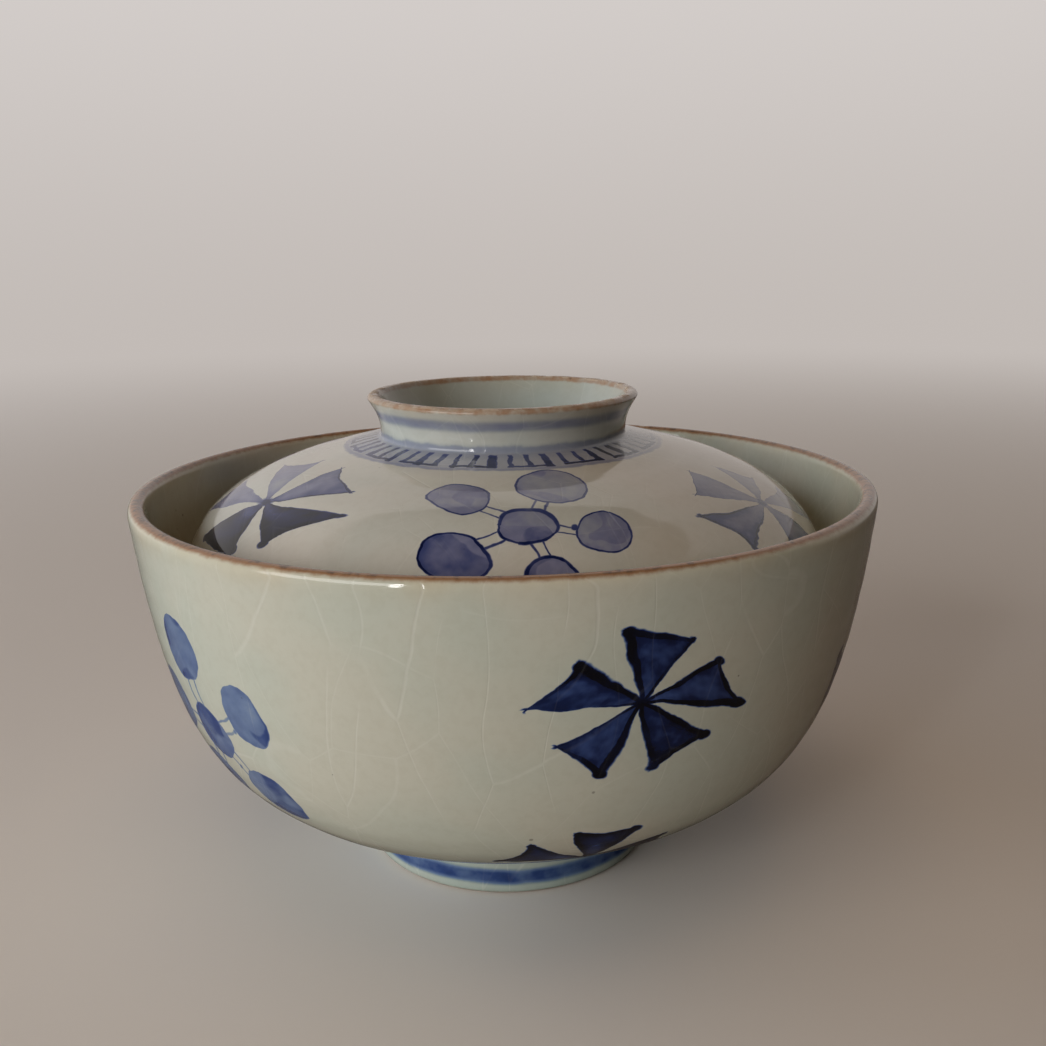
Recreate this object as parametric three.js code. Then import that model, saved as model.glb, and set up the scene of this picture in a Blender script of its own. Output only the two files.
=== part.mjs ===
// Lidded rice bowl in thrown and trimmed porcelain.
//
// Two fired pieces: a deep bowl on a trimmed foot ring, and a domed lid whose ring knob
// doubles as its foot when it is turned over. The lid drops inside the bowl and rests on
// the sloping inner wall. Millimetres, +Z up, origin at the centre of the foot ring's
// resting plane.

import * as THREE from "three";

// Driving dimensions of the bowl.
const BOWL = {
  mouthRadius: 57.5, // widest point, at the outside of the lip
  mouthHeight: 59.4, // of that point; the lip's half round rises above it
  lipThickness: 2.6,
  lowerWallThickness: 4.4, // where the wall leaves the foot ring
  lowerWallReach: 22.6, // how far out the wall heads as it leaves the foot ring
  lowerWallRise: 10.3, // and how far up over that reach
  upperWallLean: 4.6, // how far in the wall lies under the lip, on its straight stretch
  upperWallDrop: 41.2, // and how far down that stretch points
  footHeight: 7.2, // outside of the ring, up to the body
  footRadius: 23.2, // outside of the ring at the resting plane
  footTaper: 0.5, // how much wider the ring is at the body
  footRecessDepth: 5.0,
  footRecessTopRadius: 19.6,
  footFlatWidth: 1.6, // the ring's resting face
  floorHeight: 9.8, // inside, at the centre of the well
};

// Driving dimensions of the lid, with heights above its own rim plane.
const LID = {
  rimRadius: 50.9,
  rimThickness: 2.4,
  crownThickness: 3.4,
  domeHeight: 30.5, // rim plane to where the dome meets the knob
  skirtLean: 1.9, // how far out the skirt heads above the rim
  skirtRise: 22.6, // and how far up it points
  domeReach: 18.8, // how far out the dome heads from the knob
  domeFall: 4.7, // and how far down over that reach
  crownRise: 0.8, // hollow side, from under the knob to the axis
  knobHeight: 6.6, // above the dome
  knobWaistRadius: 19.3,
  knobTopRadius: 21.3,
  knobWaistDip: 0.2, // how far in the waist draws before the flare
  knobWaistShare: 0.4, // of the knob's height, where the waist's pull ends
  knobFlareEase: 0.6, // how far out the flare has come below the top
  knobFlareShare: 0.6, // of the knob's height, where the flare's pull starts
  knobFlatWidth: 1.1,
  knobWallAtFloor: 2.4,
  knobRecessDepth: 6.2,
  knobFloorCrown: 0.3,
};

// The lid's lip clears the bowl's inner wall by this much all round.
const SEAT_CLEARANCE = 0.3;

// Facets round the axis, and steps along each kind of line in a profile.
const ROUND_SEGMENTS = 64;
const WALL_STEPS = 14;
const CROWN_STEPS = 5;
const LIP_STEPS = 5;
const EDGE_ROUNDING = 0.6;

const glaze = (color) =>
  new THREE.MeshStandardMaterial({ color, roughness: 0.15, metalness: 0 });

const point = (radius, height) => new THREE.Vector2(radius, height);

// A profile line that runs beside an outer wall, on its inner side, with the wall's
// thickness growing evenly along the curve.
function innerWall(outer, thicknessAtStart, thicknessAtEnd, steps) {
  const line = [];
  for (let i = 0; i <= steps; i++) {
    const t = i / steps;
    const tangent = outer.getTangent(t);
    const inward = point(-tangent.y, tangent.x);
    const thickness = THREE.MathUtils.lerp(thicknessAtStart, thicknessAtEnd, t);
    line.push(outer.getPoint(t).addScaledVector(inward, thickness));
  }
  return line;
}

// The half-round lip that joins one face of a wall to the other, turning anticlockwise.
function lip(from, to) {
  const centre = from.clone().add(to).multiplyScalar(0.5);
  const line = [];
  for (let i = 1; i < LIP_STEPS; i++) {
    line.push(from.clone().rotateAround(centre, (Math.PI * i) / LIP_STEPS));
  }
  return line;
}

// The shallow line from the end of an inner wall to the axis. It leaves the wall without a
// kink, heading along `slope` (height gained per mm towards the axis), and ends level.
function closeToAxis(edge, slope, axisHeight) {
  const bend = point(edge.x - (axisHeight - edge.y) / slope, axisHeight);
  const line = new THREE.QuadraticBezierCurve(edge, bend, point(0, axisHeight));
  return line.getPoints(CROWN_STEPS).slice(1);
}

// Revolves a profile, drawn as radius and height from the axis back to the axis, about +Z.
function turned(name, profile, color) {
  const geometry = new THREE.LatheGeometry(profile, ROUND_SEGMENTS);
  geometry.rotateX(Math.PI / 2);
  const mesh = new THREE.Mesh(geometry, glaze(color));
  mesh.name = name;
  return mesh;
}

// The outside of the bowl, from the foot ring up to the lip: shallow over the foot, a round
// belly low down, then an almost straight wall that still opens a little.
const bowlOutside = new THREE.CubicBezierCurve(
  point(BOWL.footRadius + BOWL.footTaper, BOWL.footHeight),
  point(
    BOWL.footRadius + BOWL.footTaper + BOWL.lowerWallReach,
    BOWL.footHeight + BOWL.lowerWallRise,
  ),
  point(
    BOWL.mouthRadius - BOWL.upperWallLean,
    BOWL.mouthHeight - BOWL.upperWallDrop,
  ),
  point(BOWL.mouthRadius, BOWL.mouthHeight),
);

const bowlInside = innerWall(
  bowlOutside,
  BOWL.lowerWallThickness,
  BOWL.lipThickness,
  WALL_STEPS,
);

// The well in the middle of the bowl, from the inner wall's lowest point to the axis.
function bowlWell() {
  const wall = bowlOutside.getTangent(0);
  return closeToAxis(bowlInside[0], -wall.y / wall.x, BOWL.floorHeight);
}

// The foot ring, from the middle of the hollow under the bowl out to its outer top edge.
function footRing() {
  const innerFlat = BOWL.footRadius - EDGE_ROUNDING - BOWL.footFlatWidth;
  return [
    point(0, BOWL.footRecessDepth),
    point(BOWL.footRecessTopRadius - EDGE_ROUNDING, BOWL.footRecessDepth),
    point(BOWL.footRecessTopRadius, BOWL.footRecessDepth - EDGE_ROUNDING),
    point(innerFlat - EDGE_ROUNDING / 2, EDGE_ROUNDING),
    point(innerFlat, 0),
    point(BOWL.footRadius - EDGE_ROUNDING, 0),
    point(BOWL.footRadius, EDGE_ROUNDING),
  ];
}

function bowl() {
  const outside = bowlOutside.getPoints(WALL_STEPS);
  const outerLip = outside[outside.length - 1];
  const innerLip = bowlInside[bowlInside.length - 1];
  const profile = [
    ...footRing(),
    ...outside,
    ...lip(outerLip, innerLip),
    ...bowlInside.slice().reverse(),
    ...bowlWell(),
  ];
  return turned("bowl", profile, 0xc9c9bd);
}

// The outside of the lid, from the lip up to the knob: a steep skirt, a round shoulder and
// a low dome.
const lidOutside = new THREE.CubicBezierCurve(
  point(LID.rimRadius, LID.rimThickness / 2),
  point(LID.rimRadius + LID.skirtLean, LID.rimThickness / 2 + LID.skirtRise),
  point(LID.knobWaistRadius + LID.domeReach, LID.domeHeight - LID.domeFall),
  point(LID.knobWaistRadius, LID.domeHeight),
);

const lidInside = innerWall(
  lidOutside,
  LID.rimThickness,
  LID.crownThickness,
  WALL_STEPS,
);

// The hollow side of the crown, from the inner wall's highest point to the axis.
function lidCrown() {
  const edge = lidInside[lidInside.length - 1];
  const dome = lidOutside.getTangent(1);
  return closeToAxis(edge, -dome.y / dome.x, edge.y + LID.crownRise);
}

// The ring knob, from the dome up its flared outside, over the top edge and down to the
// middle of its hollow.
function knob() {
  const top = LID.domeHeight + LID.knobHeight;
  const floor = top - LID.knobRecessDepth;
  const innerTop = LID.knobTopRadius - EDGE_ROUNDING - LID.knobFlatWidth;
  const innerFloor = LID.knobWaistRadius - LID.knobWallAtFloor;
  const flare = new THREE.CubicBezierCurve(
    point(LID.knobWaistRadius, LID.domeHeight),
    point(
      LID.knobWaistRadius - LID.knobWaistDip,
      LID.domeHeight + LID.knobHeight * LID.knobWaistShare,
    ),
    point(
      LID.knobWaistRadius + LID.knobFlareEase,
      LID.domeHeight + LID.knobHeight * LID.knobFlareShare,
    ),
    point(LID.knobTopRadius, top - EDGE_ROUNDING),
  );
  return [
    ...flare.getPoints(CROWN_STEPS).slice(1),
    point(LID.knobTopRadius - EDGE_ROUNDING, top),
    point(innerTop, top),
    point(innerTop - EDGE_ROUNDING / 2, top - EDGE_ROUNDING),
    point(innerFloor, floor + EDGE_ROUNDING),
    point(innerFloor - EDGE_ROUNDING, floor),
    point(0, floor + LID.knobFloorCrown),
  ];
}

// The height of the lid's rim plane when the lip is down to its clearance from the wall.
function lidSeatHeight() {
  const reach = LID.rimRadius + SEAT_CLEARANCE;
  const above = bowlInside.findIndex((p) => p.x >= reach);
  const low = bowlInside[above - 1];
  const high = bowlInside[above];
  const share = (reach - low.x) / (high.x - low.x);
  return THREE.MathUtils.lerp(low.y, high.y, share) - LID.rimThickness / 2;
}

function lid() {
  const outside = lidOutside.getPoints(WALL_STEPS);
  const profile = [
    ...lidCrown().reverse(),
    ...lidInside.slice().reverse(),
    ...lip(lidInside[0], outside[0]),
    ...outside,
    ...knob(),
  ];
  const mesh = turned("lid", profile, 0xcdc8bc);
  mesh.position.z = lidSeatHeight();
  return mesh;
}

const riceBowl = new THREE.Group();
riceBowl.add(bowl(), lid());

export default riceBowl;
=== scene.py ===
# Looks for the lidded rice bowl: thrown porcelain with cobalt painting under a crackled,
# faintly grey-green glaze, and iron brown on the lip and the knob's edge.
#
# Each CAD node is replaced by one fine mesh turned from that node's own section, and takes a
# procedural glaze. Lengths are in millimetres unless a name says otherwise. Azimuth is in
# degrees from -Y, growing towards +X. A station is a distance along the outline: on the bowl
# from the lip's top down the outside, on the lid from the foot of the knob down the dome.

import math
import random
from collections import namedtuple

import bmesh
import bpy
import numpy as np
from mathutils import Matrix, Vector


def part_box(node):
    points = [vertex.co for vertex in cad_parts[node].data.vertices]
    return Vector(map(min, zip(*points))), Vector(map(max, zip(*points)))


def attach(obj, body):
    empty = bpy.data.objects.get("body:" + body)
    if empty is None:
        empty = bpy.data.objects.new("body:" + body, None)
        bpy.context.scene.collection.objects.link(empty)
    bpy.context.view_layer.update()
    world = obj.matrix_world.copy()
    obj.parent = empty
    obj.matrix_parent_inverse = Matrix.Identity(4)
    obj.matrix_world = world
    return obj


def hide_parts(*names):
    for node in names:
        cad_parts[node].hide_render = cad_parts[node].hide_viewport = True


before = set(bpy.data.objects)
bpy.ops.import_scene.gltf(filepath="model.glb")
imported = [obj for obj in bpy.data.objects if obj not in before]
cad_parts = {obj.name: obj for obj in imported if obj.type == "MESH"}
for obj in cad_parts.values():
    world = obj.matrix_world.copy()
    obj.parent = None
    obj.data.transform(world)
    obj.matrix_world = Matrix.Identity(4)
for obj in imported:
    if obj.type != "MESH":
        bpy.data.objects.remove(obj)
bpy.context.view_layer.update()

MM = 0.001  # in metres

MOUTH_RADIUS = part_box("bowl")[1].x / MM
LIP_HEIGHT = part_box("bowl")[1].z / MM
TOP_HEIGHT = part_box("lid")[1].z / MM


# -------------------------------- turned outlines

CUT_AZIMUTH = math.radians(1.0)  # any direction that misses the CAD facets' edges
SMALLEST_RADIUS = 0.01  # below which a point counts as being on the axis
STRAIGHT_TURN = 0.05  # degrees, below which a point of a section is no bend
EDGE_TURN = 14.0  # degrees, above which a bend is an edge rather than part of a curve
FINE_STEP = 0.1
EDGE_SOFTNESS = 0.28  # how far the glaze rounds every edge
LONGEST_STEP = 1.15  # between rings of the mesh, on a straight stretch
TURN_PER_RING = 10.0  # degrees, on a bend
SEGMENTS = 320

Outline = namedtuple("Outline", "radius height station")


def cut_loop(node):
    """The closed line in which a plane through the axis cuts a node, as (radius, height) rows."""
    solid = bmesh.new()
    solid.from_mesh(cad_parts[node].data)
    bmesh.ops.remove_doubles(solid, verts=solid.verts, dist=0.001 * MM)
    outward = Vector((math.sin(CUT_AZIMUTH), -math.cos(CUT_AZIMUTH), 0))
    normal = Vector((math.cos(CUT_AZIMUTH), math.sin(CUT_AZIMUTH), 0))

    def crosses(edge):
        return len({end.co.dot(normal) >= 0 for end in edge.verts}) == 2

    first = next(edge for edge in solid.edges if crosses(edge))
    edge, face = first, first.link_faces[0]
    rows = []
    while not rows or edge != first:
        start, end = (vertex.co for vertex in edge.verts)
        share = start.dot(normal) / (start - end).dot(normal)
        point = start.lerp(end, share)
        rows.append((point.dot(outward) / MM, point.z / MM))
        edge = next(other for other in face.edges if other != edge and crosses(other))
        face = next(other for other in edge.link_faces if other != face)
    solid.free()
    return np.array(rows)


def on_axis(row, other):
    """The height at which the line through two rows meets the axis."""
    return row[1] + (other[1] - row[1]) * row[0] / (row[0] - other[0])


def section(node):
    """One half of the cut, from the axis at its lower crossing to the axis at its upper one."""
    loop = cut_loop(node)
    outer = loop[:, 0] > SMALLEST_RADIUS
    start = next(i for i in range(len(loop)) if outer[i] and not outer[i - 1])
    loop = np.roll(loop, -start, axis=0)
    count = int(outer.sum())
    ends = on_axis(loop[-1], loop[0]), on_axis(loop[count], loop[count - 1])
    rows = np.array([(0, ends[0]), *loop[:count], (0, ends[1])])
    if ends[0] > ends[1]:
        rows = rows[::-1]
    # The plane meets facets short of their corners, so the radii are a shade small.
    rows[:, 0] *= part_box(node)[1].x / MM / rows[:, 0].max()
    return rows


def turns(rows):
    """How far the line turns at each inner point, in degrees, positive to the left."""
    step = np.diff(rows, axis=0)
    heading = np.degrees(np.arctan2(step[:, 1], step[:, 0]))
    return (np.diff(heading) + 180) % 360 - 180


def stations_along(rows):
    return np.concatenate([[0], np.cumsum(np.linalg.norm(np.diff(rows, axis=0), axis=1))])


def spline(points):
    """A natural cubic spline through the points, in steps of about FINE_STEP."""
    at = stations_along(points)
    gap = np.diff(at)
    count = len(points)
    matrix = np.eye(count)
    right = np.zeros((count, 2))
    for i in range(1, count - 1):
        matrix[i, i - 1 : i + 2] = gap[i - 1], 2 * (gap[i - 1] + gap[i]), gap[i]
        after = (points[i + 1] - points[i]) / gap[i]
        before = (points[i] - points[i - 1]) / gap[i - 1]
        right[i] = 6 * (after - before)
    bend = np.linalg.solve(matrix, right)
    line = []
    for i in range(count - 1):
        steps = max(1, round(gap[i] / FINE_STEP))
        share = (np.arange(steps) / steps)[:, None]
        rest = 1 - share
        cubic = (rest**3 - rest) * bend[i] + (share**3 - share) * bend[i + 1]
        line.append(rest * points[i] + share * points[i + 1] + cubic * gap[i] ** 2 / 6)
    return np.vstack(line)


def softened(line):
    """The line in even fine steps, with every edge rounded by a Gaussian."""
    at = stations_along(line)
    even = np.arange(0, at[-1], FINE_STEP)
    even = np.append(even, at[-1])
    line = np.column_stack([np.interp(even, at, line[:, k]) for k in (0, 1)])
    reach = round(4 * EDGE_SOFTNESS / FINE_STEP)
    weight = np.exp(-0.5 * (np.arange(-reach, reach + 1) * FINE_STEP / EDGE_SOFTNESS) ** 2)
    weight /= weight.sum()
    across_axis = np.array([-1, 1])
    before = line[reach:0:-1] * across_axis
    after = line[-2 : -reach - 2 : -1] * across_axis
    padded = np.vstack([before, line, after])
    smooth = np.column_stack([np.convolve(padded[:, k], weight, mode="valid") for k in (0, 1)])
    smooth[[0, -1], 0] = 0
    return smooth


def ring_rows(line):
    """Picks rows of the fine line for the mesh's rings, closer together on bends."""
    at = stations_along(line)
    cost = np.gradient(at) / LONGEST_STEP
    cost[1:-1] += np.abs(turns(line)) / TURN_PER_RING
    total = np.cumsum(cost)
    wanted = np.linspace(total[0], total[-1], int(total[-1] - total[0]) + 2)
    return np.unique(np.round(np.interp(wanted, total, np.arange(len(line)))).astype(int))


def outline(node, find_zero):
    """A node's smooth outline, with stations counted from the row that find_zero picks."""
    rows = section(node)
    bent = np.abs(turns(rows)) > STRAIGHT_TURN
    rows = rows[np.concatenate([[True], bent, [True]])]
    edges = np.flatnonzero(np.abs(turns(rows)) > EDGE_TURN) + 1
    ends = [0, *edges, len(rows) - 1]
    runs = [spline(rows[a : b + 1]) for a, b in zip(ends, ends[1:])]
    line = softened(np.vstack([*runs, rows[-1:]]))
    at = stations_along(line)
    zero = at[find_zero(line)]
    picked = ring_rows(line)
    return Outline(line[picked, 0], line[picked, 1], zero - at[picked])


def lip_row(line):
    return int(np.argmax(line[:, 1]))


def knob_foot_row(line):
    """The sharpest hollow of the lid's outside, where the dome meets the knob."""
    rim, top = int(np.argmin(line[:, 1])), int(np.argmax(line[:, 1]))
    reach = round(EDGE_SOFTNESS / FINE_STEP)
    heading = line[2 * reach :] - line[: -2 * reach]
    angle = np.unwrap(np.arctan2(heading[:, 1], heading[:, 0]))
    return rim + int(np.argmin(np.gradient(angle)[rim - reach : top - reach]))


# -------------------------------- marks of hand and use

Nick = namedtuple("Nick", "azimuth station width depth")

# Small chips, where lips get knocked.
BOWL_NICKS = [
    Nick(151, 0.0, 1.5, 0.16),
    Nick(147, -0.4, 0.9, 0.10),
    Nick(-139, 0.3, 1.2, 0.14),
    Nick(96, 0.2, 1.0, 0.10),
]
KNOB_EDGE_STATION = -7.0
LID_NICKS = [
    Nick(158, KNOB_EDGE_STATION - 0.4, 0.9, 0.22),
    Nick(163, KNOB_EDGE_STATION - 0.2, 0.6, 0.14),
    Nick(-52, KNOB_EDGE_STATION, 0.7, 0.12),
    Nick(31, KNOB_EDGE_STATION + 0.2, 0.5, 0.08),
]

# First and last station of the part outside that keeps its throwing lines.
BOWL_WALL = (4, 66)
LID_DOME = (1, 40)


def arc_between(azimuth, centre):
    """The signed angle from centre to azimuth, in degrees, the short way round."""
    return (azimuth - centre + 180) % 360 - 180


def nick_depth(nicks, azimuth, radius, station):
    """How deep the chips go at each point."""
    depth = np.zeros_like(azimuth)
    for nick in nicks:
        along = np.radians(arc_between(azimuth, nick.azimuth)) * radius
        away = (along**2 + (station - nick.station) ** 2) / (0.5 * nick.width) ** 2
        depth = np.maximum(depth, nick.depth * np.exp(-away))
    return depth


def waves(azimuth, lobes, amount, phase):
    """A wave round the axis, with so many lobes, and its phase in degrees."""
    return amount * np.cos(np.radians(lobes * azimuth + phase))


def throwing_lines(azimuth, station, depth, turn_per_mm):
    """The shallow spiral that a potter's fingers leave, along an outline's stations."""
    return depth * np.sin(station * turn_per_mm + np.radians(azimuth))


def bowl_by_hand(azimuth, height, station):
    """Radius and height changes: a lip a little out of round and level, and throwing lines."""
    lip_share = np.clip(height / LIP_HEIGHT, 0, 1) ** 6
    oval = waves(azimuth, 2, 0.22, 35) + waves(azimuth, 3, 0.12, 110)
    level = waves(azimuth, 2, 0.14, 200) + waves(azimuth, 5, 0.05, 15)
    wall_start, wall_end = BOWL_WALL
    on_wall = (station > wall_start) & (station < wall_end)
    rings = throwing_lines(azimuth, station, 0.02, 1.45) + 0.014 * np.sin(station * 0.62 + 1.0)
    return lip_share * oval + np.where(on_wall, rings, 0), lip_share * level


def lid_by_hand(azimuth, height, station):
    """The knob a little out of round, the dome a little uneven, the rim kept true to its seat."""
    height_share = np.clip((height + 1) / TOP_HEIGHT, 0, 1)
    knob_share = np.clip((-station - 1) / 5, 0, 1)
    oval = knob_share * (waves(azimuth, 2, 0.12, 80) + waves(azimuth, 3, 0.07, 10))
    level = knob_share * waves(azimuth, 2, 0.05, 150)
    dome_start, dome_end = LID_DOME
    on_dome = (station > dome_start) & (station < dome_end)
    rings = throwing_lines(azimuth, station, 0.025, 1.15) + 0.02 * np.sin(station * 0.5)
    return oval, level + np.where(on_dome, rings * height_share, 0)


# -------------------------------- painted motifs

PINWHEEL, PLUM = 0, 1
CELL_RADIUS = 22.0  # of the round patch that belongs to one motif
FAR_AWAY = 99.0  # motif place of glaze that no motif reaches
BLADE_HALF_WIDTH = 20.0  # degrees, in the even pinwheel
BLADE_REACH = 12.0  # to a blade's outer corners
PETAL_REACH = 10.5  # to the petals' middles
PETAL_SIZES = (3.9, 4.7)  # radii, from the smallest petal to the largest
MIDDLE_PETAL_SIZE = 3.7
TIE_OFFSET = 0.85  # sideways, of each of the two lines that tie a petal to the middle one
MIXED_REACH = 5.5  # within which the brush loads of all spokes run together
SPOKES = 5
SPOKE_TURN = 360 / SPOKES
FIRST_SPOKE = 90.0  # degrees, counted from the motif's own x axis

# azimuth and station say where the middle is. drawn lists, in order round the middle, where
# the brush put the points that the even motif has at equal angles, and how loaded it was:
# (angle, reach, wash, line) of ten blade corners, or of five petal middles. wash and line are
# the cobalt's density in the fill and in the outline.
Motif = namedtuple("Motif", "kind azimuth station drawn")


def even_points(kind):
    """The (angle, reach) points of the even motif, matching a motif's drawn list."""
    middles = [FIRST_SPOKE + SPOKE_TURN * k for k in range(SPOKES)]
    if kind == PLUM:
        return [(middle, PETAL_REACH) for middle in middles]
    half = BLADE_HALF_WIDTH
    return [(middle + side, BLADE_REACH) for middle in middles for side in (-half, half)]


def by_eye(kind, seed, wash, line):
    """The even motif's points, moved about and loaded as a quick brush would."""
    hand = random.Random(seed)
    angle_spread, reach_spread = (6, 0.13) if kind == PINWHEEL else (5, 0.08)
    start = hand.uniform(-30, 30)
    drawn = []
    for angle, reach in even_points(kind):
        angle += start + hand.uniform(-angle_spread, angle_spread)
        reach *= hand.uniform(1 - reach_spread, 1 + reach_spread)
        loads = wash * hand.uniform(0.85, 1.15), line * hand.uniform(0.7, 1.2)
        drawn.append((angle, reach, *loads))
    return drawn


BOWL_MOTIFS = [
    Motif(PINWHEEL, 17.8, 17.7, [
        (52, 9.4, 3.1, 3.7),
        (105, 9.8, 3.2, 5.2),
        (147, 9.8, 2.8, 5.0),
        (180, 14.3, 2.4, 2.9),
        (208, 11.6, 2.7, 3.2),
        (244, 11.0, 3.0, 5.1),
        (284, 10.4, 3.0, 4.2),
        (325, 11.6, 3.0, 4.9),
        (347, 14.8, 3.0, 5.0),
        (380, 10.8, 2.9, 4.6),
    ]),
    Motif(PINWHEEL, 14.5, 49.0, [
        (61, 10.4, 3.1, 4.4),
        (105, 10.3, 3.1, 4.6),
        (138, 11.6, 3.1, 4.4),
        (172, 11.8, 3.0, 4.2),
        (210, 11.5, 3.0, 4.4),
        (250, 11.0, 3.0, 4.4),
        (285, 10.6, 3.0, 4.4),
        (320, 11.4, 3.0, 4.4),
        (345, 12.0, 3.0, 4.4),
        (381, 11.2, 3.0, 4.4),
    ]),
    Motif(PLUM, -48.6, 29.0, [
        (28, 11.2, 1.1, 1.3),
        (102, 12.6, 1.2, 1.4),
        (174, 11.3, 1.3, 1.4),
        (246, 11.4, 1.3, 1.4),
        (314, 12.3, 1.35, 1.5),
    ]),
    Motif(PINWHEEL, 74.0, 27.5, [
        (62, 10.6, 2.9, 4.4),
        (101, 11.0, 2.9, 4.8),
        (158, 13.2, 2.8, 4.6),
        (197, 13.5, 2.6, 3.2),
        (222, 11.0, 2.6, 3.4),
        (258, 10.8, 2.8, 4.9),
        (290, 10.5, 2.8, 4.3),
        (330, 11.5, 2.8, 4.6),
        (350, 12.5, 2.8, 4.8),
        (388, 11.0, 2.8, 4.2),
    ]),
    Motif(PLUM, 137.0, 18.5, by_eye(PLUM, 1, 1.2, 1.4)),
    Motif(PINWHEEL, 141.0, 49.5, by_eye(PINWHEEL, 2, 2.8, 4.4)),
    Motif(PINWHEEL, -160.0, 28.5, by_eye(PINWHEEL, 3, 2.7, 4.4)),
    Motif(PLUM, -106.0, 18.0, by_eye(PLUM, 4, 1.25, 1.4)),
    Motif(PINWHEEL, -101.0, 49.5, by_eye(PINWHEEL, 5, 2.8, 4.3)),
]

LID_MOTIFS = [
    Motif(PLUM, 5.6, 20.4, [
        (68, 10.1, 0.72, 2.0),
        (145, 10.7, 0.88, 2.0),
        (206, 11.7, 1.1, 3.2),
        (284, 9.4, 1.3, 3.2),
        (345, 9.8, 0.74, 2.4),
    ]),
    Motif(PINWHEEL, -57.2, 21.2, [
        (29, 12.8, 1.6, 3.1),
        (81, 11.6, 1.4, 2.7),
        (119, 12.8, 1.05, 1.5),
        (158, 15.2, 1.05, 1.5),
        (182, 18.9, 1.05, 1.4),
        (202, 20.0, 1.3, 1.6),
        (230, 12.5, 3.1, 3.9),
        (294, 9.5, 3.1, 5.4),
        (325, 11.5, 3.1, 4.4),
        (363, 16.0, 2.9, 3.9),
    ]),
    Motif(PINWHEEL, 61.7, 24.2, [
        (23, 9.2, 1.0, 1.5),
        (63, 10.4, 1.0, 1.4),
        (102, 11.1, 1.5, 2.2),
        (150, 11.3, 1.6, 2.6),
        (174, 15.2, 2.0, 3.4),
        (203, 12.9, 2.1, 3.4),
        (251, 9.5, 2.0, 3.0),
        (307, 9.8, 2.0, 3.8),
        (331, 17.5, 0.9, 2.4),
        (358, 13.5, 0.9, 1.3),
    ]),
    Motif(PLUM, 122.0, 21.0, by_eye(PLUM, 6, 1.2, 2.2)),
    Motif(PINWHEEL, -179.0, 21.5, by_eye(PINWHEEL, 7, 1.6, 2.6)),
    Motif(PLUM, -118.0, 21.0, by_eye(PLUM, 8, 1.2, 2.2)),
]


def evened(motif, x, y):
    """Where each point of the brushed motif lies in the even one."""
    angle = np.degrees(np.arctan2(y, x))
    drawn = np.array(motif.drawn, float)
    even = np.array(even_points(motif.kind), float)
    turned = np.interp(angle, drawn[:, 0], even[:, 0] - drawn[:, 0], period=360)
    scale = np.interp(angle, drawn[:, 0], even[:, 1] / drawn[:, 1], period=360)
    reach = np.hypot(x, y) * scale
    direction = np.radians(angle + turned)
    return reach * np.cos(direction), reach * np.sin(direction)


def brush_loads(motif, x, y):
    """The densities of wash and line at each point of the brushed motif."""
    angle = np.degrees(np.arctan2(y, x))
    drawn = np.array(motif.drawn, float)
    own_share = np.clip(np.hypot(x, y) / MIXED_REACH, 0, 1)
    loads = []
    for load in (drawn[:, 2], drawn[:, 3]):
        around = np.interp(angle, drawn[:, 0], load, period=360)
        loads.append(load.mean() + (around - load.mean()) * own_share)
    return loads


def motif_layers(motifs, azimuth, radius, station, face_of):
    """Three pairs per mesh corner: place in the motif, its two densities, its kind and number."""
    faces = face_of[-1] + 1
    corners = np.bincount(face_of)

    def of_face(values):
        return np.bincount(face_of, weights=values) / corners

    nearest = np.full(faces, -1)
    best = np.full(faces, CELL_RADIUS)
    for number, motif in enumerate(motifs):
        along = np.radians(arc_between(of_face(azimuth), motif.azimuth)) * of_face(radius)
        away = np.hypot(along, of_face(station) - motif.station)
        nearest = np.where(away < best, number, nearest)
        best = np.minimum(away, best)
    place = np.full((len(azimuth), 2), FAR_AWAY)
    density = np.zeros((len(azimuth), 2))
    label = np.zeros((len(azimuth), 2))
    for number, motif in enumerate(motifs):
        own = nearest[face_of] == number
        x = np.radians(arc_between(azimuth[own], motif.azimuth)) * radius[own]
        y = motif.station - station[own]
        place[own] = np.column_stack(evened(motif, x, y))
        density[own] = np.column_stack(brush_loads(motif, x, y))
        label[own] = motif.kind, number
    return {"motif": place, "ink": density, "motif_label": label}


# -------------------------------- meshes


def turned_faces(last_row):
    """Every face as its corners' (row, step) pairs, with a fan of triangles at each pole.

    Faces at the seam count on past the last step, so that azimuth doesn't jump back in a face.
    """
    steps = range(SEGMENTS)
    before = last_row - 1
    quads = [
        [(i, j), (i, j + 1), (i + 1, j + 1), (i + 1, j)]
        for i in range(1, before)
        for j in steps
    ]
    lower_cap = [[(0, j + 0.5), (1, j + 1), (1, j)] for j in steps]
    upper_cap = [[(before, j), (before, j + 1), (last_row, j + 0.5)] for j in steps]
    return quads + lower_cap + upper_cap


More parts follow.
